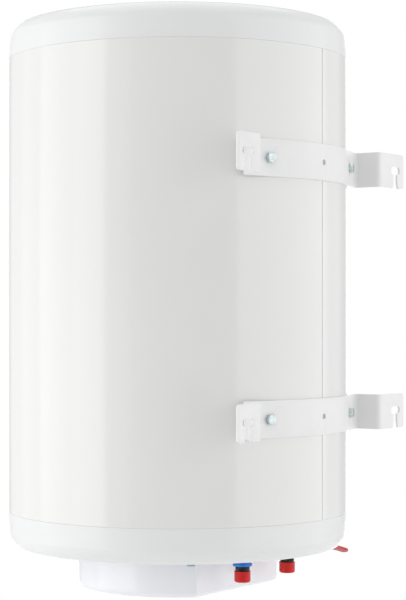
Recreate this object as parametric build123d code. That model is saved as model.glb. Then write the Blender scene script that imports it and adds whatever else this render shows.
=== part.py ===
from build123d import *

import math
import os

# Wall-hung round electric storage water heater, about 100 litres. Millimetres, +Z up.
# The front faces -Y and the wall is on +Y. The pieces are drawn about the body's axis,
# with Z = 0 at the jacket's lower edge. save() then moves them to the row's frame,
# whose origin lies on the wall plane in the middle of the four hook seats.

# Jacket and lids
jacket_radius = 250.0
jacket_height = 650.0
jacket_sheet = 0.8
seam_gap = 0.6
lid_height = 50.0
lid_wall = 3.0
lid_straight = 30.0
lid_draft = 2.5
lid_shoulder = 20.0
lid_edge_round = 0.8
spigot_depth = 8.0
spigot_clearance = 0.4
lid_inside_gap = 0.3
flange_opening = 75.0

# Tank
tank_radius = 222.0
tank_wall = 2.2
dome_height = 60.0
dome_skirt = 15.0
dome_flat = 30.0
tank_bottom = -30.0
tank_top = 672.0
foam_mouth = 118.0

# Wall brackets
wall_plane = 257.0
strap_height = 50.0
strap_sheet = 3.0
upper_strap = 493.0
lower_strap = 143.0
hug_angle = 20.0
knee_x = 142.0
shoulder_x = {1: 160.0, -1: 144.5}
tab_end = 212.0
bend_radius = 6.0
tab_corner = 5.0
keyhole_x = 189.0
head_width = 25.0
head_height = 11.0
head_top = 6.25
neck_width = 10.8
flare_width = 17.5
flare_height = 8.0
hook_seat = head_top
strap_hole = 4.0
bolt_offset = 16.6
bolt_radius = 4.0
bolt_length = 24.0
bolt_head = 5.3
bolt_across = 13.0
post_radius = 10.0

# Electrical cover
cover_radius = 147.0
cover_back = 108.5
cover_depth = 58.8
cover_wall = 2.5
cover_corner = 4.0
cover_edge = 8.0
cover_screw_x = 105.0
cover_screw_y = -34.0
screw_radius = 2.0
screw_head = 4.0
screw_boss = 5.0
screw_boss_top = -29.0
cover_post = 7.0
screw_sink = 8.0
knob_y = -60.0
knob_radius = 20.0
knob_height = 15.0
spindle_radius = 3.0
lamp_x = 34.0
lamp_radius = 3.5
grommet_angle = 155.0
grommet_z = -80.0
grommet_bore = 4.0
clip_angles = (44.3, 135.7, 225.0, 315.0)
clip_width = 11.2
clip_height = 14.3
clip_sheet = 1.6

# Water connections
pipe_x = 56.0
pipe_y = 155.0
thread_radius = 10.48
pipe_bore = 8.0
pipe_opening = 11.0
cap_radius = 11.7
cap_top = -71.7
cap_bottom = -87.2
cap_end = 2.4
cap_fit = 0.1
ring_sleeve = 12.3
ring_flange = 13.5
ring_flange_height = 3.5
ring_drop = 14.8
tag_sheet = 1.4
tag_reach = 106.0
tag_droop = 13.5
tag_level = 34.0
tag_width = 14.0
tag_eye = 17.0
tag_angle = 157.0

# Flange in the bottom of the tank
flange_radius = 60.0
flange_mouth = 40.0
stud_circle = 50.0
stud_radius = 4.0
stud_count = 6
ring_low, ring_high = -38.0, -22.0
gasket_low = -41.0
plate_low = -45.0
element_radius = 4.2
element_x = 28.0
element_y = 3.0
element_bend = 15.0
pocket_y = -25.0
anode_y = 22.0
pocket_radius = 5.5
pocket_wall = 1.0
pocket_top = 240.0
anode_radius = 11.0
anode_top = 320.0
element_top = 290.0
earth_x = 52.0
earth_radius = 2.0
nut_height = 6.5
nut_across = 13.0
stud_low = -56.0
gap = 0.05

# Controls and wiring under the cover
controls_low, controls_high = -78.0, -58.0
controls_half = 22.0
thermostat_y = (-78.0, -12.0)
cutout_y = (-12.0, 16.0)
reset_y = 2.0
reset_radius = 3.5
reset_low, reset_high = -82.0, -69.0
pin_hole_top = -64.0
clamp_reach = 122.0
terminal_x = (-115.0, -105.0, -95.0)
terminal_end = 10.0
terminal_half = 15.0
terminal_height = 18.0
lead_radius = 1.2

lid_flat = -lid_height
top_flat = jacket_height + lid_height
cover_low = lid_flat - cover_depth
hook_height = (upper_strap + lower_strap) / 2 + hook_seat
frame = Location((0, -wall_plane, -hook_height))


def save(name, shape):
    """Writes one named piece in the row's frame."""
    export_step(frame * shape, f"parts/{name}.step")


def group(shapes):
    return Compound(children=list(shapes))


def rod(radius, low, high, x=0.0, y=0.0):
    return Pos(x, y, (low + high) / 2) * Cylinder(radius, high - low)


def tube(outer, inner, low, high, x=0.0, y=0.0):
    return rod(outer, low, high, x, y) - rod(inner, low - 1, high + 1, x, y)


def block(x_low, x_high, y_low, y_high, z_low, z_high):
    centre = Pos((x_low + x_high) / 2, (y_low + y_high) / 2, (z_low + z_high) / 2)
    return centre * Box(x_high - x_low, y_high - y_low, z_high - z_low)


def hexagon(across, low, high, x=0.0, y=0.0, crowned=-1):
    """A hexagon's prism, chamfered at its top end, or with crowned=0 at its bottom end."""
    corner = across / math.sqrt(3)
    inset = corner - 0.475 * across
    round_bar = rod(corner, low, high)
    rim = round_bar.edges().filter_by(GeomType.CIRCLE).group_by(Axis.Z)[crowned]
    blank = chamfer(rim, inset * math.tan(math.radians(30)), inset)
    prism = Pos(0, 0, low) * extrude(RegularPolygon(across / 2, 6, major_radius=False), high - low)
    return Pos(x, y, 0) * (prism & blank)


def spin_profile(lines):
    return revolve(make_face(Plane.XZ * lines), Axis.Z)


def quarter_ellipse(centre, across, up):
    """From the ellipse's outermost point up to its top."""
    return EllipticalCenterArc(centre, across, up, 0, arc_size=90)


def on_ring(radius, count, start=0.0):
    step = 2 * math.pi / count
    first = math.radians(start)
    return [(radius * math.cos(first + i * step), radius * math.sin(first + i * step)) for i in range(count)]


# Jacket and lids


def make_jacket():
    """Rolled sheet, open along a narrow seam at the back."""
    sheet = tube(jacket_radius, jacket_radius - jacket_sheet, 0, jacket_height)
    seam = block(-seam_gap / 2, seam_gap / 2, jacket_radius - 10, jacket_radius + 10, -1, jacket_height + 1)
    holes = bolt_places(lambda: rod_out(bolt_radius + 1, tank_radius, wall_plane))
    return sheet - seam - holes


def lid_outline(inset):
    """Half section of a lid's skin above its rim, inset from its outside, from rim to axis."""
    edge = jacket_radius - inset
    turn_x = jacket_radius - lid_shoulder
    side = Line((edge, 0), (edge - lid_draft, lid_straight))
    arc = quarter_ellipse(
        (turn_x, lid_straight), lid_shoulder - lid_draft - inset, lid_height - lid_straight - inset
    )
    return side + arc + Line(arc @ 1, (0, lid_height - inset))


def make_lid():
    """Moulded lid with its rim at Z = 0 and its flat at lid_height, and a spigot below the rim."""
    outside = spin_profile(lid_outline(0) + Polyline((0, lid_height), (0, 0), (jacket_radius, 0)))
    outside = fillet(outside.edges().filter_by(GeomType.CIRCLE).group_by(Axis.Z)[0], lid_edge_round)
    spigot_outer = jacket_radius - jacket_sheet - spigot_clearance
    outside += rod(spigot_outer, -spigot_depth, lid_edge_round)
    inner, low = jacket_radius - lid_wall, -spigot_depth - 1
    inside = spin_profile(
        lid_outline(lid_wall) + Polyline((0, lid_height - lid_wall), (0, low), (inner, low), (inner, 0))
    )
    return outside - inside


def make_top_lid():
    return Pos(0, 0, jacket_height) * make_lid()


def make_bottom_lid():
    """The same moulding turned over, open for the flange and the pipes, with two screw bosses."""
    lid = Rot(180, 0, 0) * make_lid()
    above, below = lid_flat + lid_wall + 1, lid_flat - 1
    lid -= rod(flange_opening, below, above)
    for side in (-1, 1):
        lid -= rod(pipe_opening, below, above, side * pipe_x, pipe_y)
        x = side * cover_screw_x
        lid += rod(screw_boss, lid_flat + lid_wall, screw_boss_top, x, cover_screw_y)
        lid -= rod(screw_radius + gap, below, screw_boss_top - 3, x, cover_screw_y)
    return lid


# Wall brackets


def turned(side, shape):
    """Turns a shape drawn on +Y to the flat stretch of a strap on one side."""
    return Rot(0, 0, -side * hug_angle) * Pos(side * bolt_offset, 0, 0) * shape


def rod_out(radius, low, high):
    """A rod along +Y, from low to high."""
    return Pos(0, (low + high) / 2, 0) * Rot(90, 0, 0) * Cylinder(radius, high - low)


def bolt_places(make, heights=(upper_strap, lower_strap)):
    return [Pos(0, 0, z) * turned(side, make()) for z in heights for side in (-1, 1)]


def strap_half(side):
    mid = jacket_radius + strap_sheet / 2
    hug = math.radians(hug_angle)
    leave = (side * mid * math.sin(hug), mid * math.cos(hug))
    knee = (side * knee_x, leave[1] - (knee_x - abs(leave[0])) * math.tan(hug))
    tab_y = wall_plane - strap_sheet / 2
    shoulder = (side * shoulder_x[side], tab_y)
    arms = FilletPolyline(leave, knee, shoulder, (side * tab_end, tab_y), radius=bend_radius)
    start = 90 if side < 0 else 90 - hug_angle
    return trace(CenterArc((0, 0), mid, start, hug_angle), strap_sheet) + trace(arms, strap_sheet)


def keyhole():
    """Hook opening in a tab, drawn in X and Z about the strap's mid height: a wide head on a flared neck."""
    head = Pos(0, head_top - head_height / 2) * RectangleRounded(head_width, head_height, 5)
    low = -strap_height / 2
    half, flare = neck_width / 2, flare_width / 2
    neck = Polygon(
        (-half, 0), (half, 0), (half, low + flare_height), (flare, low - 1),
        (-flare, low - 1), (-half, low + flare_height), align=None,
    )
    return extrude(Plane.XZ * (head + neck), 20, both=True)


def make_bracket(z):
    flat = strap_half(1) + strap_half(-1)
    strap = Pos(0, 0, -strap_height / 2) * extrude(flat, strap_height)
    ends = strap.edges().filter_by(Axis.Y)
    ends = [e for e in ends if abs(abs(e.center().X) - tab_end) < 0.1]
    strap = fillet(ends, tab_corner)
    for side in (-1, 1):
        strap -= Pos(side * keyhole_x, wall_plane, 0) * keyhole()
        strap -= turned(side, rod_out(bolt_radius + 0.5, tank_radius, wall_plane))
    strap -= rod_out(strap_hole, tank_radius, wall_plane)
    return Pos(0, 0, z) * strap


def make_bolt():
    seat = jacket_radius + strap_sheet
    head = Pos(0, seat, 0) * Rot(-90, 0, 0) * hexagon(bolt_across, 0, bolt_head)
    return head + rod_out(bolt_radius, seat - bolt_length, seat)


def make_post():
    """Threaded post on the tank that a bracket bolt goes into, cut to the tank and the jacket."""
    end = jacket_radius + strap_sheet - bolt_length - 1
    return rod_out(post_radius, tank_radius - 7, wall_plane) - rod_out(bolt_radius + gap, end, wall_plane + 1)


def make_posts():
    inside = jacket_radius - jacket_sheet - 0.3
    room = tube(inside, tank_radius + gap, 0, jacket_height)
    return [(post & room) for post in bolt_places(make_post)]


# Tank


def dome_section(inset, skirt):
    """Half section of everything inside a dished end, with its widest circle at Z = 0."""
    radius, rise = tank_radius - inset, dome_height - inset
    arc = quarter_ellipse((dome_flat, 0), radius - dome_flat, rise)
    straight = Polyline((dome_flat, rise), (0, rise), (0, -skirt), (radius, -skirt), (radius, 0))
    return make_face(arc + straight)


def make_dome():
    wall = dome_section(0, dome_skirt) - dome_section(tank_wall, dome_skirt + 1)
    return revolve(Plane.XZ * wall, Axis.Z)


def make_top_dome():
    return Pos(0, 0, tank_top - dome_height) * make_dome()


def make_bottom_dome():
    dome = Pos(0, 0, tank_bottom + dome_height) * Rot(180, 0, 0) * make_dome()
    dome -= rod(flange_radius + gap, tank_bottom - 10, tank_bottom + 20)
    for side in (-1, 1):
        dome -= rod(thread_radius + gap, -60, 60, side * pipe_x, pipe_y)
    return dome


def make_shell():
    low = tank_bottom + dome_height + dome_skirt
    high = tank_top - dome_height - dome_skirt
    return tube(tank_radius, tank_radius - tank_wall, low, high)


def tank_section(over):
    """Half section of the whole tank, a little oversize."""
    low, high = tank_bottom + dome_height, tank_top - dome_height
    end = dome_section(-over, 1)
    middle = Pos((tank_radius + over) / 2, (low + high) / 2) * Rectangle(tank_radius + over, high - low)
    return middle + Pos(0, high) * end + Pos(0, low) * mirror(end, Plane.XZ)


def foam_section():
    """Half section of the space inside the jacket and the lids."""
    wide = jacket_radius - jacket_sheet - 0.1
    inset = lid_wall + lid_inside_gap
    narrow = jacket_radius - inset
    step = jacket_height - spigot_depth - 0.5
    mid = jacket_height / 2
    arc = quarter_ellipse(
        (jacket_radius - lid_shoulder, jacket_height + lid_straight),
        lid_shoulder - lid_draft - inset, lid_height - lid_straight - inset,
    )
    rest = Polyline(
        (jacket_radius - lid_shoulder, top_flat - inset), (0, top_flat - inset), (0, mid), (wide, mid),
        (wide, step), (narrow, step), (narrow, jacket_height),
        (narrow - lid_draft, jacket_height + lid_straight),
    )
    upper = make_face(arc + rest)
    return upper + mirror(upper, Plane.XZ.offset(-mid))


def make_foam():
    """Insulation between the tank, the jacket and the lids, open round the flange."""
    flange_room = Pos(foam_mouth / 2, lid_flat / 2) * Rectangle(foam_mouth, -lid_flat)
    section = foam_section() - tank_section(0.1) - flange_room
    foam = revolve(Plane.XZ * section, Axis.Z)
    for side in (-1, 1):
        foam -= rod(thread_radius + 0.3, lid_flat - 5, 60, side * pipe_x, pipe_y)
    for sleeve in bolt_places(lambda: rod_out(post_radius + 0.2, tank_radius - 20, wall_plane)):
        foam -= sleeve
    return foam


# Water connections


def make_stub(side):
    return tube(thread_radius, pipe_bore, cap_bottom + cap_end + 0.3, 15, side * pipe_x, pipe_y)


def make_ring(side, top=lid_flat):
    """Insulating sleeve with a marker flange, between the lid and the thread."""
    x = side * pipe_x
    low = lid_flat - ring_drop
    ring = rod(ring_sleeve, low, top, x, pipe_y) + rod(ring_flange, low, low + ring_flange_height, x, pipe_y)
    return ring - rod(thread_radius + gap, low - 1, 0, x, pipe_y)


def make_cap(side):
    x = side * pipe_x
    cap = rod(cap_radius, cap_bottom, cap_top, x, pipe_y)
    cap = fillet(cap.edges().group_by(Axis.Z)[0], 2.2)
    cap = fillet(cap.edges().group_by(Axis.Z)[-1], 0.4)
    return cap - rod(thread_radius + cap_fit, cap_bottom + cap_end, cap_top + 1, x, pipe_y)


def make_tag():
    """Thin marker tag: an eye on the hot outlet under the lid, and a tongue that droops past the lid's edge."""
    path = Line((0, 0), (tag_level, 0)) + TangentArc((tag_level, 0), (tag_reach, -tag_droop), tangent=(1, 0))
    lower = Pos(0, -tag_sheet) * path
    side = make_face(Plane.XZ * (path + lower + Line((0, 0), (0, -tag_sheet)) + Line(path @ 1, lower @ 1)))
    tongue = extrude(side, tag_width / 2, both=True)
    outline = Pos(tag_reach / 2 - 5, 0) * RectangleRounded(tag_reach + 10, tag_width, tag_width / 2 - 0.1)
    tongue &= Pos(0, 0, -2 * tag_droop) * extrude(outline, 3 * tag_droop)
    eye = rod(tag_eye, -tag_sheet, 0) + tongue
    eye -= rod(thread_radius + gap, -5, 5)
    return Pos(-pipe_x, pipe_y, lid_flat) * Rot(0, 0, tag_angle) * eye


def make_diffuser():
    """Capped basket over the cold inlet, with four side mouths."""
    basket = rod(15, 1, 42, pipe_x, pipe_y) - rod(12.5, 15, 39, pipe_x, pipe_y)
    basket -= rod(thread_radius + gap, 0, 20, pipe_x, pipe_y)
    mouth = Box(40, 9, 14) + Box(9, 40, 14)
    return basket - Pos(pipe_x, pipe_y, 28) * mouth


def make_standpipe():
    return tube(pipe_bore - gap, pipe_bore - 1.2, -20, 632, -pipe_x, pipe_y)


# Flange, heating elements and anode


def stud_places():
    return on_ring(stud_circle, stud_count, start=90)


def make_flange_ring():
    ring = tube(flange_radius, flange_mouth, ring_low, ring_high)
    for x, y in stud_places():
        ring -= rod(stud_radius + gap, ring_low - 1, ring_high - 4, x, y)
    return ring


def make_studs():
    return [rod(stud_radius, stud_low, ring_high - 4.1, x, y) for x, y in stud_places()]


def make_nut(across, height, radius, x, y, lift=0.0):
    """Plain nut under the flange plate, or with lift some way below it."""
    high = plate_low - lift
    nut = hexagon(across, high - height, high, x, y, crowned=0)
    return nut - rod(radius + gap, high - height - 1, high + 1, x, y)


def make_nuts():
    return [make_nut(nut_across, nut_height, stud_radius, x, y) for x, y in stud_places()]


def make_gasket():
    gasket = tube(flange_radius - 1, flange_mouth, gasket_low, ring_low)
    for x, y in stud_places():
        gasket -= rod(stud_radius + 0.3, gasket_low - 1, ring_low + 1, x, y)
    return gasket


def element_feet(x):
    return [(x, element_y - element_bend), (x, element_y + element_bend)]


def make_plate():
    plate = rod(flange_radius, plate_low, gasket_low)
    holes = [(x, y, stud_radius + 0.3) for x, y in stud_places()]
    holes += [(x, y, element_radius + gap) for side in (-1, 1) for x, y in element_feet(side * element_x)]
    holes += [(0, pocket_y, pocket_radius + gap), (0, anode_y, stud_radius + gap)]
    for x, y, radius in holes:
        plate -= rod(radius, plate_low - 1, gasket_low + 1, x, y)
    return plate


def make_element(x):
    """Hairpin heating element: a bent sheath through the plate, and two terminal pins."""
    foot, top = plate_low - 4, element_top
    near, far = element_y - element_bend, element_y + element_bend
    path = (
        Line((near, foot), (near, top))
        + CenterArc((element_y, top), element_bend, 180, -180)
        + Line((far, top), (far, foot))
    )
    start = Plane(origin=(x, near, foot), z_dir=(0, 0, 1)) * Circle(element_radius)
    hairpin = sweep(start, Plane(origin=(x, 0, 0), x_dir=(0, 1, 0), z_dir=(1, 0, 0)) * path)
    for px, py in element_feet(x):
        hairpin += rod(2, foot - 13, foot + 2, px, py)
    return hairpin


def make_pocket():
    pocket = rod(pocket_radius, plate_low - 2, pocket_top, 0, pocket_y)
    return pocket - rod(pocket_radius - pocket_wall, plate_low - 3, pocket_top - 3, 0, pocket_y)


def make_anode():
    foot = plate_low + 9
    return rod(anode_radius, foot, anode_top, 0, anode_y) + rod(stud_radius, plate_low - 9, foot, 0, anode_y)


def make_anode_nut():
    return make_nut(nut_across, nut_height, stud_radius, 0, anode_y)


def make_earth_stud():
    return rod(earth_radius, plate_low - 15, plate_low, earth_x)


def make_earth_nut():
    return make_nut(7, 3, earth_radius, earth_x, 0, lift=4)


# Controls and wiring under the cover


def make_thermostat():
    body = block(-controls_half, controls_half, *thermostat_y, controls_low, controls_high)
    body = fillet(body.edges().filter_by(Axis.Z), 4)
    return body - rod(spindle_radius + gap, controls_low - 1, pin_hole_top, 0, knob_y)


def make_probe():
    return rod(pocket_radius - pocket_wall - 0.5, controls_high, pocket_top - 15, 0, pocket_y)


def make_spindle():
    return rod(spindle_radius, cover_low - 12, pin_hole_top - 2, 0, knob_y)


def make_knob():
    """Round control knob under the cover, with a grip bar across its face."""
    high = cover_low - 1
    low = high - knob_height
    knob = rod(knob_radius, high - 6, high, 0, knob_y)
    bar = block(-5, 5, knob_y - knob_radius + 1, knob_y + knob_radius - 1, low, high - 5)
    bar = fillet(bar.edges().filter_by(Axis.Z), 4)
    bar = fillet(bar.edges().group_by(Axis.Z)[0], 1.5)
    knob = fillet(knob.edges().group_by(Axis.Z)[0], 1.5) + bar
    return knob - rod(spindle_radius + gap / 2, cover_low - 12.2, high + 1, 0, knob_y)


def make_cutout():
    body = block(-controls_half, controls_half, *cutout_y, controls_low, controls_high)
    return body - rod(reset_radius + gap, controls_low - 1, pin_hole_top, 0, reset_y)


def make_reset():
    button = rod(reset_radius, reset_low, reset_high, 0, reset_y)
    return fillet(button.edges().group_by(Axis.Z)[0], 0.8)


def cover_sketch(inset):
    wide = 2 * cover_radius
    outline = Circle(cover_radius) & Pos(0, cover_back - wide / 2) * Rectangle(wide, wide)
    outline = fillet(outline.vertices(), cover_corner)
    return outline if not inset else offset(outline, -inset)


def cover_solid(inset, low):
    solid = Pos(0, 0, low) * extrude(cover_sketch(inset), lid_flat - low)
    return fillet(solid.edges().group_by(Axis.Z)[0], cover_edge - inset)


def grommet_frame():
    """At the supply lead's entry, with local +Y pointing outwards."""
    return Pos(0, 0, grommet_z) * Rot(0, 0, grommet_angle - 90)


def make_cover():
    below, above = cover_low - 1, lid_flat + 1
    cover = cover_solid(0, cover_low)
    cavity = cover_solid(cover_wall, cover_low + cover_wall) + rod(100, lid_flat - 1, above)
    cover -= cavity
    for side in (-1, 1):
        x = side * cover_screw_x
        cover += rod(cover_post, cover_low + 1, lid_flat, x, cover_screw_y)
        cover -= rod(screw_radius + 0.3, below, above, x, cover_screw_y)
        cover -= rod(screw_head + 0.6, below, cover_low + screw_sink, x, cover_screw_y)
    cover -= rod(spindle_radius + 1, below, cover_low + 5, 0, knob_y)
    cover -= rod(lamp_radius + 0.1, below, cover_low + 5, lamp_x, knob_y)
    return cover - grommet_frame() * rod_out(7.05, cover_radius - 10, cover_radius + 5)


def make_cover_screws():
    screws = []
    low, high = cover_low + screw_sink - 2.6, cover_low + screw_sink
    for side in (-1, 1):
        x = side * cover_screw_x
        head = rod(screw_head, low, high, x, cover_screw_y)
        head = fillet(head.edges().group_by(Axis.Z)[0], 1)
        cross = Box(4.4, 0.9, 2) + Box(0.9, 4.4, 2)
        head -= Pos(x, cover_screw_y, low) * Rot(0, 0, 20 * side) * cross
        screws.append(head + rod(screw_radius, high, screw_boss_top - 5, x, cover_screw_y))
    return screws


def make_clips():
    """Sprung clips that hold the cover's rim from outside, under the lid."""
    clips = []
    low, inner = lid_flat - clip_height, cover_radius + gap
    shell = tube(inner + clip_sheet, inner, low, lid_flat)
    for angle in clip_angles:
        sector = block(0, inner + 10, -clip_width / 2, clip_width / 2, low, lid_flat)
        clips.append(shell & Rot(0, 0, angle) * sector)
    return clips


def make_lamp_lens():
    inside = cover_low + cover_wall
    lens = rod(lamp_radius, cover_low - 2, inside + 0.1, lamp_x, knob_y)
    lens = fillet(lens.edges().group_by(Axis.Z)[0], 1.8)
    return lens + rod(lamp_radius + 1.5, inside, inside + 1.5, lamp_x, knob_y)


def make_lamp_holder():
    low = cover_low + cover_wall + 1.5
    socket = rod(lamp_radius - 0.3, low - 1, low + 13, lamp_x, knob_y)
    return rod(lamp_radius + 2, low, low + 16, lamp_x, knob_y) - socket


def make_grommet():
    inner_wall = math.sqrt((cover_radius - cover_wall) ** 2 - 9**2)
    ring = rod_out(9, inner_wall - 2, inner_wall) + rod_out(7, inner_wall - 2, cover_radius + 1)
    ring += rod_out(10, cover_radius + 0.1, cover_radius + 3)
    return grommet_frame() * (ring - rod_out(grommet_bore, cover_radius - 10, cover_radius + 5))


def make_clamp():
    """Saddle under the lid that would hold the supply lead."""
    saddle = Pos(0, clamp_reach, lid_flat - 7) * Box(34, 10, 14)
    saddle -= Pos(0, 0, lid_flat - 7) * rod_out(grommet_bore + 0.5, clamp_reach - 10, clamp_reach + 10)
    return Rot(0, 0, grommet_angle - 90) * saddle


def make_terminal_block():
    low, first, last = lid_flat - terminal_height, terminal_x[0], terminal_x[-1]
    holder = block(first - terminal_end, last + terminal_end, -terminal_half, terminal_half, low, lid_flat)
    holder = fillet(holder.edges().filter_by(Axis.Z), 2)
    for x in terminal_x:
        holder -= rod(2.6, low - 1, low + 10, x, 0)
    return holder


def make_terminal_screws():
    low = lid_flat - terminal_height
    return [rod(2.5, low + 1, low + 9.9, x, 0) for x in terminal_x]


lead_routes = {
    "lead_live": [(-85, -9, -61), (-73, -9, -61), (-62, -22, -78), (-44, -42, -84), (-34, -50, -70), (-22, -50, -70)],
    "lead_neutral": [(-85, 0, -61), (-73, 0, -61), (-62, -3, -84), (-44, -9, -94), (-28, -12, -84), (-28, -12, -62)],
    "lead_earth": [(-85, 9, -61), (-73, 9, -61), (-60, 16, -86), (-20, 33, -94), (22, 32, -93), (45, 16, -90),
                   (52, 0, -82), (52, 0, -60)],
    "lead_element": [(22, -40, -70), (33, -40, -70), (37, -27, -82), (28, -12, -84), (28, -12, -62)],
}


def lead_radii(points):
    """As large a bend at each corner as its two runs allow."""
    radii = []
    for before, corner, after in zip(points, points[1:], points[2:]):
        into, out = Vector(*corner) - Vector(*before), Vector(*after) - Vector(*corner)
        half_turn = math.radians(into.get_angle(out)) / 2
        radii.append(0.45 * min(into.length, out.length) / math.tan(half_turn))
    return radii


def make_lead(points):
    path = FilletPolyline(*points, radius=lead_radii(points))
    start = Plane(origin=path @ 0, z_dir=path % 0) * Circle(lead_radius)
    return sweep(start, path)


def main():
    os.makedirs("parts", exist_ok=True)
    save("outer_jacket", make_jacket())
    save("top_lid", make_top_lid())
    save("bottom_lid", make_bottom_lid())
    save("insulation_foam", make_foam())
    for name, z in (("upper", upper_strap), ("lower", lower_strap)):
        save(f"{name}_wall_bracket", make_bracket(z))
        save(f"{name}_bracket_bolts", group(bolt_places(make_bolt, (z,))))
    save("bracket_posts", group(make_posts()))

    save("tank_shell", make_shell())
    save("tank_top_dome", make_top_dome())
    save("tank_bottom_dome", make_bottom_dome())

    save("cold_inlet_stub", make_stub(1))
    save("hot_outlet_stub", make_stub(-1))
    save("cold_inlet_ring", make_ring(1))
    save("hot_outlet_ring", make_ring(-1, lid_flat - tag_sheet))
    save("cold_inlet_cap", make_cap(1))
    save("hot_outlet_cap", make_cap(-1))
    save("hot_outlet_tag", make_tag())
    save("cold_diffuser", make_diffuser())
    save("hot_standpipe", make_standpipe())

    save("flange_ring", make_flange_ring())
    save("flange_studs", group(make_studs()))
    save("flange_nuts", group(make_nuts()))
    save("flange_gasket", make_gasket())
    save("flange_plate", make_plate())
    save("heating_element_left", make_element(-element_x))
    save("heating_element_right", make_element(element_x))
    save("sensor_pocket", make_pocket())
    save("anode_rod", make_anode())
    save("anode_nut", make_anode_nut())
    save("earth_stud", make_earth_stud())
    save("earth_nut", make_earth_nut())

    save("thermostat_body", make_thermostat())
    save("thermostat_probe", make_probe())
    save("thermostat_spindle", make_spindle())
    save("thermostat_knob", make_knob())
    save("safety_cutout_body", make_cutout())
    save("cutout_reset_button", make_reset())
    save("electrical_cover", make_cover())
    save("cover_screws", group(make_cover_screws()))
    save("cover_clips", group(make_clips()))
    save("pilot_lamp_lens", make_lamp_lens())
    save("pilot_lamp_holder", make_lamp_holder())
    save("supply_lead_grommet", make_grommet())
    save("supply_lead_clamp", make_clamp())
    save("terminal_block", make_terminal_block())
    save("terminal_screws", group(make_terminal_screws()))
    for name, points in lead_routes.items():
        save(name, make_lead(points))
        print(name, "bend radii", [round(radius, 1) for radius in lead_radii(points)])


main()
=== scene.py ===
import math
import bmesh
import bpy
from mathutils import Matrix, Vector


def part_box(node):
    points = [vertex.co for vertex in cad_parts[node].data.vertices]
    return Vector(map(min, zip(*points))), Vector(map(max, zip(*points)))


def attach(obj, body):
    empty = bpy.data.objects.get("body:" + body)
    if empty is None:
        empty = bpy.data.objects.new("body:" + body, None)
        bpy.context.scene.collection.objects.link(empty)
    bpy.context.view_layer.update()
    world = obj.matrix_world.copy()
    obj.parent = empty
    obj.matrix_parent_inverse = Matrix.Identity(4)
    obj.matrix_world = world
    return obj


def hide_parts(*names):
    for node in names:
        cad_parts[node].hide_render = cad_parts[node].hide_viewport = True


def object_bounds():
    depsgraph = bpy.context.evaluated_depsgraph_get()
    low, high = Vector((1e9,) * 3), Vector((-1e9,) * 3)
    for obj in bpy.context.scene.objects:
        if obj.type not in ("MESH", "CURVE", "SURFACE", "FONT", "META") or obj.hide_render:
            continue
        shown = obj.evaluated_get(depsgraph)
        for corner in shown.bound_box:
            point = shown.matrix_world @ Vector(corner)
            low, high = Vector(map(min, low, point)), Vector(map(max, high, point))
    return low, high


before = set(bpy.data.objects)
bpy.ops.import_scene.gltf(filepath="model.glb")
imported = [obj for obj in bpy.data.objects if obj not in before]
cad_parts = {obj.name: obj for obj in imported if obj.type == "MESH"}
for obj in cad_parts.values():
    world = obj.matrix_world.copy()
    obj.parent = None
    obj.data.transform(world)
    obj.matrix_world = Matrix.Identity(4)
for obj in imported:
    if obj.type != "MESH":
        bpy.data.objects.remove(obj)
cadLow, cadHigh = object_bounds()
print("frame loaded", len(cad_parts), "nodes")

mm = 0.001
jacketLow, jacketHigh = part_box("outer_jacket")
axis = Vector(((jacketLow.x + jacketHigh.x) / 2, (jacketLow.y + jacketHigh.y) / 2, 0))
bodyRadius = (jacketHigh.x - jacketLow.x) / 2
root = "heater"


pattern = {"detail": 3.0, "low": 0.3, "high": 0.7, "firstStop": 0.32, "secondStop": 0.68, "rubScale": 30}


def startMaterial(name):
    material = bpy.data.materials.new(name)
    material.use_nodes = True
    tree = material.node_tree
    return material, tree, tree.nodes["Principled BSDF"]


def objectPattern(tree, kind, scale, stretch=(1, 1, 1)):
    # a noise or cell pattern fixed to the piece
    coords = tree.nodes.new("ShaderNodeTexCoord")
    mapping = tree.nodes.new("ShaderNodeMapping")
    mapping.inputs["Scale"].default_value = stretch
    tree.links.new(coords.outputs["Object"], mapping.inputs["Vector"])
    texture = tree.nodes.new(kind)
    texture.inputs["Scale"].default_value = scale
    if kind == "ShaderNodeTexNoise":
        texture.inputs["Detail"].default_value = pattern["detail"]
    tree.links.new(mapping.outputs["Vector"], texture.inputs["Vector"])
    return texture


def spread(tree, value, low, high):
    # stretches a 0 to 1 pattern over a range
    span = tree.nodes.new("ShaderNodeMapRange")
    span.inputs["From Min"].default_value = pattern["low"]
    span.inputs["From Max"].default_value = pattern["high"]
    span.inputs["To Min"].default_value = low
    span.inputs["To Max"].default_value = high
    tree.links.new(value, span.inputs["Value"])
    return span.outputs["Result"]


def tintBetween(tree, value, first, second):
    # mixes two tints by a pattern's value
    ramp = tree.nodes.new("ShaderNodeValToRGB")
    ramp.color_ramp.elements[0].position = pattern["firstStop"]
    ramp.color_ramp.elements[1].position = pattern["secondStop"]
    ramp.color_ramp.elements[0].color = (*first, 1)
    ramp.color_ramp.elements[1].color = (*second, 1)
    tree.links.new(value, ramp.inputs["Fac"])
    return ramp.outputs["Color"]


def addBump(tree, shader, height, depth, under=None):
    bump = tree.nodes.new("ShaderNodeBump")
    bump.inputs["Strength"].default_value = 1.0
    bump.inputs["Distance"].default_value = depth
    tree.links.new(height, bump.inputs["Height"])
    if under:
        tree.links.new(under, bump.inputs["Normal"])
    tree.links.new(bump.outputs["Normal"], shader.inputs["Normal"])
    return bump.outputs["Normal"]


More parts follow.
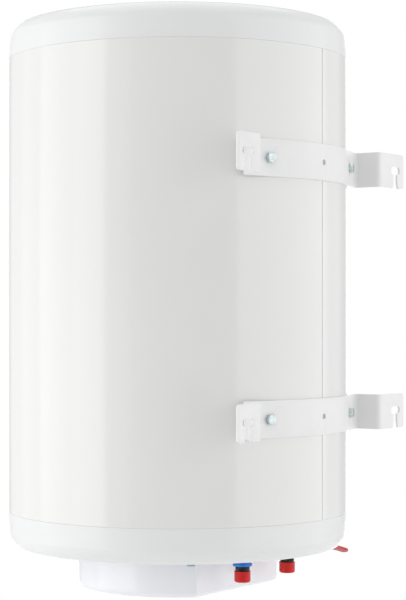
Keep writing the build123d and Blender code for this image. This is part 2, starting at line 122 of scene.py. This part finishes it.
def makeFinish(name, look):
    # two tints of one colour, a worn gloss, and a relief of one or two patterns
    material, tree, shader = startMaterial(name)
    stretch = look.get("stretch", (1, 1, 1))
    shade = objectPattern(tree, "ShaderNodeTexNoise", look["shadeScale"], stretch)
    tint = tintBetween(tree, shade.outputs["Fac"], look["colour"], look["shade"])
    tree.links.new(tint, shader.inputs["Base Color"])
    rub = objectPattern(tree, "ShaderNodeTexNoise", look.get("rubScale", pattern["rubScale"]), stretch)
    tree.links.new(spread(tree, rub.outputs["Fac"], *look["rough"]), shader.inputs["Roughness"])
    under = None
    for kind, scale, depth in look.get("relief", ()):
        texture = objectPattern(tree, kind, scale, stretch)
        height = texture.outputs["Fac" if kind == "ShaderNodeTexNoise" else "Distance"]
        under = addBump(tree, shader, height, depth, under)
    for socket, value in look.get("sockets", {}).items():
        shader.inputs[socket].default_value = value
    return material


noise, cells = "ShaderNodeTexNoise", "ShaderNodeTexVoronoi"
looks = {
    # powder enamel baked on sheet steel: a faint orange peel and a slow ripple in the sheet
    "jacketEnamel": dict(colour=(0.80, 0.80, 0.79), shade=(0.78, 0.78, 0.775), shadeScale=3,
                         rough=(0.13, 0.17),
                         relief=[(noise, 3.5, 0.0006), (noise, 420, 0.000012)],
                         sockets={"Coat Weight": 0.5, "Coat Roughness": 0.12, "Specular IOR Level": 0.5}),
    # moulded lids with a fine satin texture
    "lidPlastic": dict(colour=(0.805, 0.81, 0.815), shade=(0.79, 0.795, 0.80), shadeScale=5,
                       rough=(0.2, 0.25),
                       relief=[(noise, 900, 0.00001)]),
    "coverPlastic": dict(colour=(0.86, 0.87, 0.905), shade=(0.845, 0.855, 0.895), shadeScale=7,
                         rough=(0.14, 0.2),
                         relief=[(noise, 14, 0.0002)],
                         sockets={"Coat Weight": 0.3, "Coat Roughness": 0.08}),
    "bracketPaint": dict(colour=(0.84, 0.84, 0.84), shade=(0.815, 0.815, 0.82), shadeScale=22,
                         rough=(0.28, 0.38),
                         relief=[(noise, 60, 0.00015), (noise, 700, 0.00002)]),
    "zincPlate": dict(colour=(0.70, 0.78, 0.78), shade=(0.45, 0.52, 0.53), shadeScale=160,
                      rough=(0.22, 0.42),
                      rubScale=240, relief=[(cells, 420, 0.00005)], sockets={"Metallic": 1.0}),
    "pipeBlack": dict(colour=(0.02, 0.018, 0.016), shade=(0.05, 0.04, 0.032), shadeScale=140,
                      rough=(0.18, 0.35),
                      rubScale=200, relief=[(noise, 500, 0.00006)], sockets={"Coat Weight": 0.6}),
    "ringBlue": dict(colour=(0.01, 0.17, 0.62), shade=(0.01, 0.20, 0.68), shadeScale=60, rough=(0.22, 0.32),
                     relief=[(noise, 800, 0.00002)]),
    "ringRed": dict(colour=(0.58, 0.015, 0.01), shade=(0.52, 0.012, 0.01), shadeScale=60,
                    rough=(0.22, 0.32),
                    relief=[(noise, 800, 0.00002)]),
    "capRed": dict(colour=(0.62, 0.012, 0.008), shade=(0.54, 0.01, 0.008), shadeScale=70,
                   rough=(0.16, 0.26),
                   relief=[(noise, 90, 0.0001), (noise, 900, 0.00001)],
                   sockets={"Coat Weight": 0.1, "Specular IOR Level": 0.25}),
    "tagRed": dict(colour=(0.55, 0.02, 0.02), shade=(0.48, 0.015, 0.015), shadeScale=80, rough=(0.2, 0.3),
                   relief=[(noise, 120, 0.0001)]),
    # painted reflection: a pale pink for the tag's upward faces, standing in for the sheen of the white
    # studio
    "tagPaintedSheen": dict(colour=(0.80, 0.62, 0.66), shade=(0.76, 0.56, 0.60), shadeScale=60, rough=(0.12, 0.2),
                    relief=[(noise, 120, 0.0001)], sockets={"Coat Weight": 0.5}),
    "clipPlastic": dict(colour=(0.30, 0.45, 0.52), shade=(0.26, 0.40, 0.47), shadeScale=80,
                        rough=(0.3, 0.42),
                        relief=[(noise, 700, 0.00002)]),
    # painted shade: a dark grey for the lap behind the jacket seam, standing in for the shadow in the gap
    "seamPaintedShade": dict(colour=(0.30, 0.30, 0.30), shade=(0.22, 0.22, 0.22), shadeScale=60,
                        rough=(0.5, 0.7),
                        relief=[(noise, 300, 0.0001)]),
    "knobPlastic": dict(colour=(0.62, 0.63, 0.65), shade=(0.59, 0.60, 0.62), shadeScale=40,
                        rough=(0.3, 0.38),
                        relief=[(noise, 900, 0.00002)]),
    "dialPrint": dict(colour=(0.16, 0.17, 0.19), shade=(0.20, 0.21, 0.23), shadeScale=200,
                      rough=(0.45, 0.6)),
    "resetRed": dict(colour=(0.60, 0.02, 0.015), shade=(0.54, 0.02, 0.015), shadeScale=200,
                     rough=(0.2, 0.3)),
    "controlPlastic": dict(colour=(0.70, 0.66, 0.56), shade=(0.66, 0.61, 0.51), shadeScale=50,
                           rough=(0.4, 0.5),
                           relief=[(noise, 900, 0.00002)]),
    "terminalPlastic": dict(colour=(0.74, 0.74, 0.68), shade=(0.70, 0.70, 0.64), shadeScale=50,
                            rough=(0.35, 0.5),
                            relief=[(noise, 900, 0.00002)]),
    "grommetRubber": dict(colour=(0.035, 0.035, 0.037), shade=(0.055, 0.055, 0.055), shadeScale=120,
                          rough=(0.55, 0.7), relief=[(noise, 600, 0.00005)]),
    "gasketRubber": dict(colour=(0.02, 0.02, 0.02), shade=(0.035, 0.035, 0.035), shadeScale=100,
                         rough=(0.6, 0.8),
                         relief=[(noise, 500, 0.00008)]),
    "insulationFoam": dict(colour=(0.78, 0.66, 0.40), shade=(0.70, 0.56, 0.31), shadeScale=24,
                           rough=(0.8, 0.95),
                           relief=[(cells, 260, 0.0006), (noise, 40, 0.001)]),
    "tankEnamel": dict(colour=(0.05, 0.07, 0.12), shade=(0.035, 0.05, 0.09), shadeScale=12,
                       rough=(0.3, 0.45),
                       relief=[(noise, 200, 0.0001)]),
    "platedSteel": dict(colour=(0.55, 0.56, 0.57), shade=(0.44, 0.45, 0.46), shadeScale=120,
                        rough=(0.25, 0.4),
                        rubScale=160, relief=[(noise, 300, 0.00004)], sockets={"Metallic": 1.0}),
    "stainlessTube": dict(colour=(0.62, 0.61, 0.59), shade=(0.52, 0.51, 0.50), shadeScale=60,
                          stretch=(1, 1, 0.05),
                          rough=(0.2, 0.36), relief=[(noise, 900, 0.00002)], sockets={"Metallic": 1.0}),
    "elementCopper": dict(colour=(0.72, 0.38, 0.24), shade=(0.50, 0.24, 0.15), shadeScale=40,
                          rough=(0.25, 0.45),
                          relief=[(noise, 300, 0.00004)], sockets={"Metallic": 1.0}),
    "anodeCast": dict(colour=(0.48, 0.48, 0.49), shade=(0.36, 0.36, 0.37), shadeScale=70, rough=(0.5, 0.7),
                      relief=[(noise, 260, 0.0003)], sockets={"Metallic": 1.0}),
    "pipePlastic": dict(colour=(0.74, 0.74, 0.70), shade=(0.70, 0.70, 0.66), shadeScale=50,
                        rough=(0.4, 0.5),
                        relief=[(noise, 700, 0.00002)]),
    "terminalBrass": dict(colour=(0.72, 0.52, 0.20), shade=(0.58, 0.40, 0.15), shadeScale=200,
                          rough=(0.25, 0.4),
                          sockets={"Metallic": 1.0}),
    "leadBrown": dict(colour=(0.16, 0.06, 0.025), shade=(0.13, 0.05, 0.02), shadeScale=90,
                      rough=(0.35, 0.45)),
    "leadBlue": dict(colour=(0.03, 0.12, 0.42), shade=(0.03, 0.10, 0.36), shadeScale=90,
                     rough=(0.35, 0.45)),
}
finishes = {name: makeFinish(name, look) for name, look in looks.items()}


leadStripes = {"scale": 70, "green": (0.05, 0.28, 0.05), "yellow": (0.70, 0.62, 0.05), "rough": 0.4}
lampLens = {"scale": 240, "dark": (0.85, 0.16, 0.02), "light": (0.95, 0.26, 0.04), "rough": 0.12,
            "clear": 0.55}


def makeLeadStripes():
    # green insulation with a yellow stripe that runs round it
    material, tree, shader = startMaterial("leadGreen")
    stripes = objectPattern(tree, "ShaderNodeTexWave", leadStripes["scale"])
    colour = tintBetween(tree, stripes.outputs["Fac"], leadStripes["green"], leadStripes["yellow"])
    tree.links.new(colour, shader.inputs["Base Color"])
    shader.inputs["Roughness"].default_value = leadStripes["rough"]
    return material


def makeLampLens():
    # cloudy amber plastic over a neon lamp
    material, tree, shader = startMaterial("lampLens")
    cloud = objectPattern(tree, "ShaderNodeTexNoise", lampLens["scale"])
    colour = tintBetween(tree, cloud.outputs["Fac"], lampLens["dark"], lampLens["light"])
    tree.links.new(colour, shader.inputs["Base Color"])
    shader.inputs["Roughness"].default_value = lampLens["rough"]
    shader.inputs["Transmission Weight"].default_value = lampLens["clear"]
    return material


finishes["leadGreen"] = makeLeadStripes()
finishes["lampLens"] = makeLampLens()
print("finishes made", len(finishes))


meshing = {"sharp": 38, "soften": 40, "roundSteps": 96, "weld": 1e-6, "cadWeld": 2e-6, "flat": 0.5}


def keepPiece(name, bm, finishNames, body, stands=(), sharp=meshing["sharp"]):
    # the finished mesh as a piece of its own, on its body
    mesh = bpy.data.meshes.new(name)
    bm.to_mesh(mesh)
    bm.free()
    for finishName in finishNames:
        mesh.materials.append(finishes[finishName])
    mesh.shade_smooth()
    mesh.set_sharp_from_angle(angle=math.radians(sharp))
    piece = bpy.data.objects.new(name, mesh)
    bpy.context.scene.collection.objects.link(piece)
    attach(piece, body)
    if stands:
        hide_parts(*stands)


def drawProfile(points, tall=1.0, closed=True):
    # a half section in X and Z from (radius, height, corner, segments), heights stretched by tall
    bm = bmesh.new()
    corners = [bm.verts.new((radius, 0, height / tall)) for radius, height, *_ in points]
    for first, second in zip(corners, corners[1:]):
        bm.edges.new((first, second))
    if closed:
        bm.edges.new((corners[-1], corners[0]))
    for vert, (_, _, corner, segments) in zip(corners, points):
        if corner:
            bmesh.ops.bevel(bm, geom=[vert], offset=corner, segments=segments, profile=0.5,
                            affect="VERTICES", material=-1)
    bmesh.ops.scale(bm, vec=(1, 1, tall), verts=bm.verts)
    return bm


def spinProfile(bm, steps, angle=2 * math.pi):
    whole = angle == 2 * math.pi
    bmesh.ops.spin(bm, geom=bm.verts[:] + bm.edges[:], cent=(0, 0, 0), axis=(0, 0, 1), angle=angle,
                   steps=steps, use_merge=whole)
    bmesh.ops.remove_doubles(bm, verts=bm.verts, dist=meshing["weld"])
    bmesh.ops.recalc_face_normals(bm, faces=bm.faces)
    return bm


def mergedCopy(node):
    # a CAD node's triangles as one closed mesh, its flat faces whole again
    bm = bmesh.new()
    bm.from_mesh(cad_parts[node].data)
    bmesh.ops.remove_doubles(bm, verts=bm.verts, dist=meshing["cadWeld"])
    bmesh.ops.dissolve_limit(bm, angle_limit=math.radians(meshing["flat"]), verts=bm.verts, edges=bm.edges)
    return bm


def softenEdges(bm, width, segments=2, over=meshing["soften"]):
    # rounds the sharp edges, as paint and tumbling do
    sharp = [e for e in bm.edges if len(e.link_faces) == 2 and e.calc_face_angle(0) > math.radians(over)]
    bmesh.ops.bevel(bm, geom=sharp, offset=width, segments=segments, profile=0.5, affect="EDGES",
                    clamp_overlap=True, material=-1)
    return bm


def softCopy(node, name, finishName, width, segments=2):
    bm = softenEdges(mergedCopy(node), width, segments)
    keepPiece(name, bm, [finishName], root, [node])


jacket = {"sheet": 0.8 * mm, "edgeRound": 0.5 * mm, "edgeSegments": 4, "steps": 256, "seamGap": 1.0 * mm,
          "lapWidth": 1.04 * mm, "lapSheet": 0.3 * mm, "lapSink": 0.6 * mm, "lapShort": 1 * mm}


def buildJacket():
    low, high = jacketLow.z, jacketHigh.z
    inner = bodyRadius - jacket["sheet"]
    edge = jacket["edgeRound"], jacket["edgeSegments"]
    bm = drawProfile([(inner, low, 0, 1), (bodyRadius, low, *edge), (bodyRadius, high, *edge),
                      (inner, high, 0, 1)])
    opening = jacket["seamGap"] / bodyRadius
    bmesh.ops.rotate(bm, matrix=Matrix.Rotation(math.pi / 2 + opening / 2, 3, "Z"), verts=bm.verts)
    spinProfile(bm, jacket["steps"], 2 * math.pi - opening)
    bmesh.ops.holes_fill(bm, edges=[e for e in bm.edges if e.is_boundary])
    bmesh.ops.recalc_face_normals(bm, faces=bm.faces)
    bmesh.ops.translate(bm, vec=axis, verts=bm.verts)
    keepPiece("jacketSkin", bm, ["jacketEnamel"], root, ["outer_jacket"])
    # the lap behind the seam, coloured dark grey as painted shade, so the seam shows as a fine dark line
    bm = bmesh.new()
    bmesh.ops.create_cube(bm, size=1)
    size = jacket["lapWidth"], jacket["lapSheet"], high - low - jacket["lapShort"]
    bmesh.ops.scale(bm, vec=size, verts=bm.verts)
    back = axis + Vector((0, bodyRadius - jacket["lapSink"], (low + high) / 2))
    bmesh.ops.translate(bm, vec=back, verts=bm.verts)
    keepPiece("jacketSeamLap", bm, ["seamPaintedShade"], root)
    print("jacket made")


lid = {"wall": 3 * mm, "shoulder": 20 * mm, "straight": 30 * mm, "draft": 2.5 * mm,
       "rimRound": 0.8 * mm, "rimSegments": 4, "spigot": 8 * mm, "spigotGap": 1.2 * mm,
       "segments": 28, "steps": 256, "flangeMouth": 75 * mm}


def lidShape(height, mouth):
    # rim at Z = 0 and flat on top, open in the middle as far as mouth
    inner, wall = bodyRadius - lid["wall"], lid["wall"]
    lean = lid["draft"] / lid["straight"]
    corner, innerCorner = bodyRadius - lean * height, inner - lean * (height - wall)
    turnIn, spigotRadius = bodyRadius - lid["shoulder"], bodyRadius - lid["spigotGap"]
    tall = (height - lid["straight"]) / (corner - turnIn)
    points = [
        (mouth, height, 0, 1), (corner, height, corner - turnIn, lid["segments"]),
        (bodyRadius, 0, lid["rimRound"], lid["rimSegments"]), (spigotRadius, 0, 0, 1),
        (spigotRadius, -lid["spigot"], 0, 1), (inner, -lid["spigot"], 0, 1), (inner, 0, 0, 1),
        (innerCorner, height - wall, innerCorner - turnIn, lid["segments"]), (mouth, height - wall, 0, 1),
    ]
    bm = drawProfile(points, tall, closed=mouth > 0)
    return spinProfile(bm, lid["steps"])


def buildLids():
    bm = lidShape(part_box("top_lid")[1].z - jacketHigh.z, 0)
    bmesh.ops.translate(bm, vec=axis + Vector((0, 0, jacketHigh.z)), verts=bm.verts)
    keepPiece("topLid", bm, ["lidPlastic"], root, ["top_lid"])
    bm = lidShape(jacketLow.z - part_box("bottom_lid")[0].z, lid["flangeMouth"])
    bmesh.ops.rotate(bm, matrix=Matrix.Rotation(math.pi, 3, "X"), verts=bm.verts)
    bmesh.ops.translate(bm, vec=axis + Vector((0, 0, jacketLow.z)), verts=bm.verts)
    keepPiece("bottomLid", bm, ["lidPlastic"], root, ["bottom_lid"])
    print("lids made")


bracket = {"paintRound": 0.7 * mm, "boltRound": 0.25 * mm}  # how far paint and tumbling round the edges


def buildBrackets():
    for place in ("upper", "lower"):
        softCopy(f"{place}_wall_bracket", f"{place}Bracket", "bracketPaint",
                 bracket["paintRound"])
        softCopy(f"{place}_bracket_bolts", f"{place}BracketBolts", "zincPlate",
                 bracket["boltRound"])
    print("brackets made")


# the thread's crest starts and ends at shares of its pitch, and spare turns are cut off at both ends
thread = {"pitch": 1.814 * mm, "depth": 1.16 * mm, "crest": (0.42, 0.58), "steps": 40, "spareTurns": 4,
          "intoLid": 1 * mm, "weld": 5e-6, "boreDepth": 22 * mm, "wall": 2.6 * mm, "sharp": 30}
cap = {"wall": 1.1 * mm, "lip": 1.8 * mm, "step": 0.35 * mm, "end": 2.4 * mm, "lipSlope": 0.3 * mm,
       "footRound": 2.4 * mm, "footSegments": 8, "stepRound": 0.2 * mm, "stepSegments": 2,
       "rimRound": 0.5 * mm, "rimSegments": 4, "mouthRound": 0.3 * mm, "mouthSegments": 3}
ring = {"flangeHeight": 3.5 * mm, "flangeReach": 1.2 * mm, "wall": 3 * mm,
        "edgeRound": 0.5 * mm, "edgeSegments": 4, "mouthRound": 0.2 * mm, "mouthSegments": 2}


def centreOf(node):
    low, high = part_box(node)
    return Vector(((low.x + high.x) / 2, (low.y + high.y) / 2, 0)), low, high


def buildStub(node, name):
    centre, low, high = centreOf(node)
    radius = (high.x - low.x) / 2
    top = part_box("bottom_lid")[0].z + thread["intoLid"]
    pitch, threadRoot = thread["pitch"], radius - thread["depth"]
    turns = int((top - low.z) / pitch) + thread["spareTurns"]
    bm = bmesh.new()
    tooth = [(threadRoot, 0), *((radius, share) for share in thread["crest"]), (threadRoot, 1)]
    verts = [bm.verts.new((r, 0, z * pitch)) for r, z in tooth]
    for first, second in zip(verts, verts[1:]):
        bm.edges.new((first, second))
    steps = thread["steps"] * turns
    bmesh.ops.spin(bm, geom=bm.verts[:] + bm.edges[:], cent=(0, 0, 0), axis=(0, 0, 1),
                   angle=2 * math.pi * turns, steps=steps, dvec=(0, 0, pitch / thread["steps"]))
    bmesh.ops.remove_doubles(bm, verts=bm.verts, dist=thread["weld"])
    bmesh.ops.translate(bm, vec=(0, 0, low.z - pitch * thread["spareTurns"] / 2), verts=bm.verts)
    for height, keepAbove in ((low.z, True), (top, False)):
        bmesh.ops.bisect_plane(bm, geom=bm.verts[:] + bm.edges[:] + bm.faces[:], plane_co=(0, 0, height),
                               plane_no=(0, 0, 1), clear_inner=keepAbove, clear_outer=not keepAbove)
    ends = bmesh.ops.holes_fill(bm, edges=[e for e in bm.edges if e.is_boundary])["faces"]
    bmesh.ops.recalc_face_normals(bm, faces=bm.faces)
    mouth = min(ends, key=lambda face: face.calc_center_median().z)
    bmesh.ops.inset_individual(bm, faces=[mouth], thickness=thread["wall"] - thread["depth"] / 2)
    bore = bmesh.ops.extrude_discrete_faces(bm, faces=[mouth])["faces"]
    bmesh.ops.translate(bm, vec=(0, 0, thread["boreDepth"]), verts=bore[0].verts)
    bmesh.ops.translate(bm, vec=centre, verts=bm.verts)
    keepPiece(name, bm, ["pipeBlack"], root, [node], sharp=thread["sharp"])


def buildCap(node, name, body):
    centre, low, high = centreOf(node)
    radius = (high.x - low.x) / 2
    inner, waist = radius - cap["wall"], radius - cap["step"]
    lip, floorLevel = high.z - cap["lip"], low.z + cap["end"]
    step = cap["stepRound"], cap["stepSegments"]
    bm = drawProfile([
        (0, low.z, 0, 1), (waist, low.z, cap["footRound"], cap["footSegments"]),
        (waist, lip, *step), (radius, lip + cap["lipSlope"], *step),
        (radius, high.z, cap["rimRound"], cap["rimSegments"]),
        (inner, high.z, cap["mouthRound"], cap["mouthSegments"]),
        (inner, floorLevel, 0, 1), (0, floorLevel, 0, 1),
    ], closed=False)
    spinProfile(bm, meshing["roundSteps"])
    bmesh.ops.translate(bm, vec=centre, verts=bm.verts)
    keepPiece(name, bm, ["capRed"], body, [node])


def buildRing(node, name, finishName):
    centre, low, high = centreOf(node)
    flange = (high.x - low.x) / 2
    sleeve, inner = flange - ring["flangeReach"], flange - ring["wall"]
    step, edge = low.z + ring["flangeHeight"], (ring["edgeRound"], ring["edgeSegments"])
    bm = drawProfile([
        (inner, low.z, ring["mouthRound"], ring["mouthSegments"]), (flange, low.z, *edge),
        (flange, step, *edge), (sleeve, step, 0, 1), (sleeve, high.z, 0, 1), (inner, high.z, 0, 1),
    ])
    spinProfile(bm, meshing["roundSteps"])
    bmesh.ops.translate(bm, vec=centre, verts=bm.verts)
    keepPiece(name, bm, [finishName], root, [node])


tag = {"edgeRound": 0.3 * mm, "over": 50, "eyeReach": 34 * mm, "twistLength": 45 * mm, "twist": -24,
       "heading": 157, "faceUp": 0.5}


def buildTag():
    bm = softenEdges(mergedCopy("hot_outlet_tag"), tag["edgeRound"], over=tag["over"])
    heading = math.radians(tag["heading"])
    along = Vector((math.cos(heading), math.sin(heading), 0))
    eye = centreOf("hot_outlet_stub")[0]
    for vert in bm.verts:  # the thin tongue turns a little about its own length as it droops
        reach = (vert.co - eye).dot(along)
        share = min(max((reach - tag["eyeReach"]) / tag["twistLength"], 0), 1)
        aside = (vert.co - eye).dot(Vector((-along.y, along.x, 0)))
        vert.co.z += aside * math.tan(math.radians(tag["twist"])) * share * share * (3 - 2 * share)
    bm.normal_update()
    # painted reflection: faces turned up get the pale pink finish, as the sheen of the white studio on the
    # red tongue
    for face in bm.faces:
        face.material_index = 1 if face.normal.z > tag["faceUp"] else 0
    keepPiece("outletTag", bm, ["tagRed", "tagPaintedSheen"], root, ["hot_outlet_tag"])


def buildPipes():
    buildStub("cold_inlet_stub", "coldInletThread")
    buildStub("hot_outlet_stub", "hotOutletThread")
    buildRing("cold_inlet_ring", "coldInletRing", "ringBlue")
    buildRing("hot_outlet_ring", "hotOutletRing", "ringRed")
    buildCap("cold_inlet_cap", "coldInletCap", "cold_cap")
    buildCap("hot_outlet_cap", "hotOutletCap", "hot_cap")
    buildTag()
    print("water connections made")


cover = {"shellRound": 0.4 * mm, "clipRound": 0.35 * mm, "screwRound": 0.12 * mm, "grommetRound": 0.6 * mm,
         "grommetSegments": 3, "lensRound": 0.15 * mm}


def buildCover():
    softCopy("electrical_cover", "electricalCover", "coverPlastic", cover["shellRound"])
    softCopy("cover_clips", "coverClips", "clipPlastic", cover["clipRound"])
    softCopy("cover_screws", "coverScrews", "zincPlate", cover["screwRound"])
    softCopy("supply_lead_grommet", "supplyLeadGrommet", "grommetRubber",
             cover["grommetRound"], cover["grommetSegments"])
    softCopy("pilot_lamp_lens", "pilotLampLens", "lampLens", cover["lensRound"])
    print("cover made")


dial = {"edgeRound": 0.3 * mm, "pointer": 0.8 * mm, "faceDown": -0.9,
        "ribs": 30, "ribRound": 0.5 * mm, "ribSegments": 12, "ribHeight": 4 * mm, "ribDrop": 2.2 * mm,
        "ribSink": 0.1 * mm, "ribEdge": 0.15 * mm, "ribOver": 60,
        "ticks": 11, "sweep": 270, "tickReach": 24 * mm, "tickLength": 4 * mm, "tickWidth": 0.8 * mm,
        "tickRaise": 0.25 * mm, "tickEdge": 0.1 * mm}


def cutAcross(bm, point, normal):
    bmesh.ops.bisect_plane(bm, geom=bm.verts[:] + bm.edges[:] + bm.faces[:], plane_co=point, plane_no=normal)


def repeatRound(bm, count, angle):
    # copies what is drawn at one place round the Z axis
    bmesh.ops.spin(bm, geom=bm.verts[:] + bm.edges[:] + bm.faces[:], cent=(0, 0, 0), axis=(0, 0, 1),
                   angle=angle, steps=count - 1, use_duplicate=True)


def buildKnob():
    centre, low, high = centreOf("thermostat_knob")
    half = dial["pointer"]
    bm = softenEdges(mergedCopy("thermostat_knob"), dial["edgeRound"])
    for across in (-half, half):
        cutAcross(bm, centre + Vector((across, 0, 0)), (1, 0, 0))
    cutAcross(bm, centre, (0, 1, 0))
    for face in bm.faces:  # the pointer is a line printed on one half of the grip
        spot = face.calc_center_median()
        face.material_index = int(face.normal.z < dial["faceDown"] and abs(spot.x - centre.x) < half
                                  and spot.y < centre.y and spot.z < low.z + dial["edgeRound"])
    keepPiece("thermostatKnob", bm, ["knobPlastic", "dialPrint"], "knob", ["thermostat_knob"])
    # fine ribs round its rim
    radius = (high.x - low.x) / 2
    bm = bmesh.new()
    bmesh.ops.create_cone(bm, cap_ends=True, segments=dial["ribSegments"], radius1=dial["ribRound"],
                          radius2=dial["ribRound"], depth=dial["ribHeight"])
    softenEdges(bm, dial["ribEdge"], over=dial["ribOver"])
    bmesh.ops.translate(bm, vec=(radius - dial["ribSink"], 0, high.z - dial["ribDrop"]), verts=bm.verts)
    repeatRound(bm, dial["ribs"], 2 * math.pi * (dial["ribs"] - 1) / dial["ribs"])
    bmesh.ops.translate(bm, vec=centre, verts=bm.verts)
    keepPiece("thermostatKnobRibs", bm, ["knobPlastic"], "knob")
    # raised marks of the dial on the cover, from the pointer's rest round to its end
    bm = bmesh.new()
    bmesh.ops.create_cube(bm, size=1)
    bmesh.ops.scale(bm, vec=(dial["tickWidth"], dial["tickLength"], 2 * dial["tickRaise"]), verts=bm.verts)
    softenEdges(bm, dial["tickEdge"])
    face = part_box("electrical_cover")[0].z
    bmesh.ops.translate(bm, vec=(0, -dial["tickReach"], face), verts=bm.verts)
    repeatRound(bm, dial["ticks"], math.radians(dial["sweep"]))
    bmesh.ops.translate(bm, vec=centre, verts=bm.verts)
    keepPiece("coverDialMarks", bm, ["dialPrint"], root)
    print("knob made")


hiddenFinishes = {
    "insulation_foam": "insulationFoam", "bracket_posts": "tankEnamel", "tank_shell": "tankEnamel",
    "tank_top_dome": "tankEnamel", "tank_bottom_dome": "tankEnamel", "cold_diffuser": "pipePlastic",
    "hot_standpipe": "stainlessTube", "flange_ring": "tankEnamel", "flange_studs": "platedSteel",
    "flange_nuts": "platedSteel", "flange_gasket": "gasketRubber", "flange_plate": "platedSteel",
    "heating_element_left": "elementCopper", "heating_element_right": "elementCopper",
    "sensor_pocket": "stainlessTube", "anode_rod": "anodeCast", "anode_nut": "platedSteel",
    "earth_stud": "platedSteel", "earth_nut": "platedSteel", "thermostat_body": "controlPlastic",
    "thermostat_probe": "stainlessTube", "thermostat_spindle": "controlPlastic",
    "safety_cutout_body": "controlPlastic", "cutout_reset_button": "resetRed",
    "pilot_lamp_holder": "controlPlastic", "supply_lead_clamp": "terminalPlastic",
    "terminal_block": "terminalPlastic", "terminal_screws": "terminalBrass", "lead_live": "leadBrown",
    "lead_neutral": "leadBlue", "lead_earth": "leadGreen", "lead_element": "leadBrown",
}


def finishHidden():
    for node, finishName in hiddenFinishes.items():
        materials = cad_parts[node].data.materials
        materials.clear()
        materials.append(finishes[finishName])
    print("inner pieces finished", len(hiddenFinishes))


camera = {"fromBack": 52.9, "distance": 2.4908, "height": 278.5 * mm, "lens": 101.88,
          "sensor": 36, "shiftX": 0.0423, "shiftY": 0.03, "clipEnd": 60}
studio = {"floorDrop": 0.6, "floorRadius": 2.2, "floorColour": (0.88, 0.88, 0.88),
          "floorShade": (0.8668, 0.8668, 0.8668), "floorRough": 0.9, "speckScale": 40,
          "backdrop": 1.0, "ambient": 0.56, "boxDistance": 2.4, "boxHeight": 2.6, "topRise": 89,
          "topSize": 3.0, "topGlow": 1.0}
# each softbox: from and to in degrees round the heater, seen from the camera's side, and its glow
softboxes = {"leftEdge": (-30, -46, 0.35), "leftKey": (-46, -68, 1.64), "leftSide": (-68, -98, 1.29),
             "leftFill": (-98, -120, 0.55), "leftBack": (-120, -142, 0.31), "rightKey": (37, 68, 0.87),
             "rightSide": (68, 112, 0.86), "rightFill": (112, 132, 0.28), "rightBack": (148, 165, 1.18),
             "backLeft": (-150, -165, 0.81), "backRight": (-165, -195, 0.91)}
turn = math.radians(camera["fromBack"])
towards = Vector((math.sin(turn), math.cos(turn), 0))  # from the heater's axis to the camera
rightwards = Vector((-towards.y, towards.x, 0))


def addSoftbox(name, across, rise, width, height, glow, distance):
    # across and rise are angles about the heater, from the camera's direction
    flat = math.cos(across) * towards + math.sin(across) * rightwards
    out = math.cos(rise) * flat + math.sin(rise) * Vector((0, 0, 1))
    lamp = bpy.data.lights.new(name, "AREA")
    lamp.shape, lamp.size, lamp.size_y = "RECTANGLE", width, height
    lamp.energy = glow * math.pi * width * height
    box = bpy.data.objects.new(name, lamp)
    box.visible_camera = False
    box.location = axis + Vector((0, 0, (jacketLow.z + jacketHigh.z) / 2)) + out * distance
    box.rotation_euler = (-out).to_track_quat("-Z", "Y").to_euler()
    bpy.context.scene.collection.objects.link(box)


def buildWorld():
    world = bpy.data.worlds.new("studioWorld")
    bpy.context.scene.world = world
    world.use_nodes = True
    tree = world.node_tree
    tree.nodes.clear()
    ray = tree.nodes.new("ShaderNodeLightPath")
    dim = tree.nodes.new("ShaderNodeBackground")
    bright = tree.nodes.new("ShaderNodeBackground")
    mix = tree.nodes.new("ShaderNodeMixShader")
    out = tree.nodes.new("ShaderNodeOutputWorld")
    dim.inputs["Strength"].default_value = studio["ambient"]
    bright.inputs["Strength"].default_value = studio["backdrop"]
    for background in (dim, bright):
        background.inputs["Color"].default_value = (1, 1, 1, 1)
    tree.links.new(ray.outputs["Is Camera Ray"], mix.inputs["Fac"])
    tree.links.new(dim.outputs["Background"], mix.inputs[1])
    tree.links.new(bright.outputs["Background"], mix.inputs[2])
    tree.links.new(mix.outputs["Shader"], out.inputs["Surface"])


def buildFloor():
    bm = bmesh.new()
    bmesh.ops.create_circle(bm, cap_ends=True, radius=studio["floorRadius"],
                            segments=meshing["roundSteps"])
    bmesh.ops.translate(bm, vec=axis + Vector((0, 0, cadLow.z - studio["floorDrop"])), verts=bm.verts)
    mesh = bpy.data.meshes.new("floor")
    bm.to_mesh(mesh)
    bm.free()
    material, tree, shader = startMaterial("floorPaper")
    speck = objectPattern(tree, "ShaderNodeTexNoise", studio["speckScale"])
    colour = tintBetween(tree, speck.outputs["Fac"], studio["floorColour"], studio["floorShade"])
    tree.links.new(colour, shader.inputs["Base Color"])
    shader.inputs["Roughness"].default_value = studio["floorRough"]
    mesh.materials.append(material)
    floor = bpy.data.objects.new("floor", mesh)
    bpy.context.scene.collection.objects.link(floor)


def buildStudio():
    buildWorld()
    buildFloor()
    far, tall = studio["boxDistance"], studio["boxHeight"]
    for name, (first, last, glow) in softboxes.items():
        half = math.radians(abs(last - first) / 2)
        addSoftbox(name, math.radians((first + last) / 2), 0, 2 * far * math.tan(half), tall, glow, far)
    addSoftbox("topBox", 0, math.radians(studio["topRise"]), studio["topSize"], studio["topSize"],
               studio["topGlow"], far)
    data = bpy.data.cameras.new("camera")
    data.lens = camera["lens"]
    data.sensor_width = camera["sensor"]
    data.shift_x, data.shift_y = camera["shiftX"], camera["shiftY"]
    data.clip_end = camera["clipEnd"]
    view = bpy.data.objects.new("camera", data)
    view.location = axis + towards * camera["distance"] + Vector((0, 0, jacketLow.z + camera["height"]))
    view.rotation_euler = (-towards).to_track_quat("-Z", "Y").to_euler()
    bpy.context.scene.collection.objects.link(view)
    bpy.context.scene.camera = view
    bpy.context.scene.view_settings.view_transform = "Standard"
    print("studio made")


buildJacket()
buildLids()
buildBrackets()
buildPipes()
buildCover()
buildKnob()
finishHidden()
buildStudio()
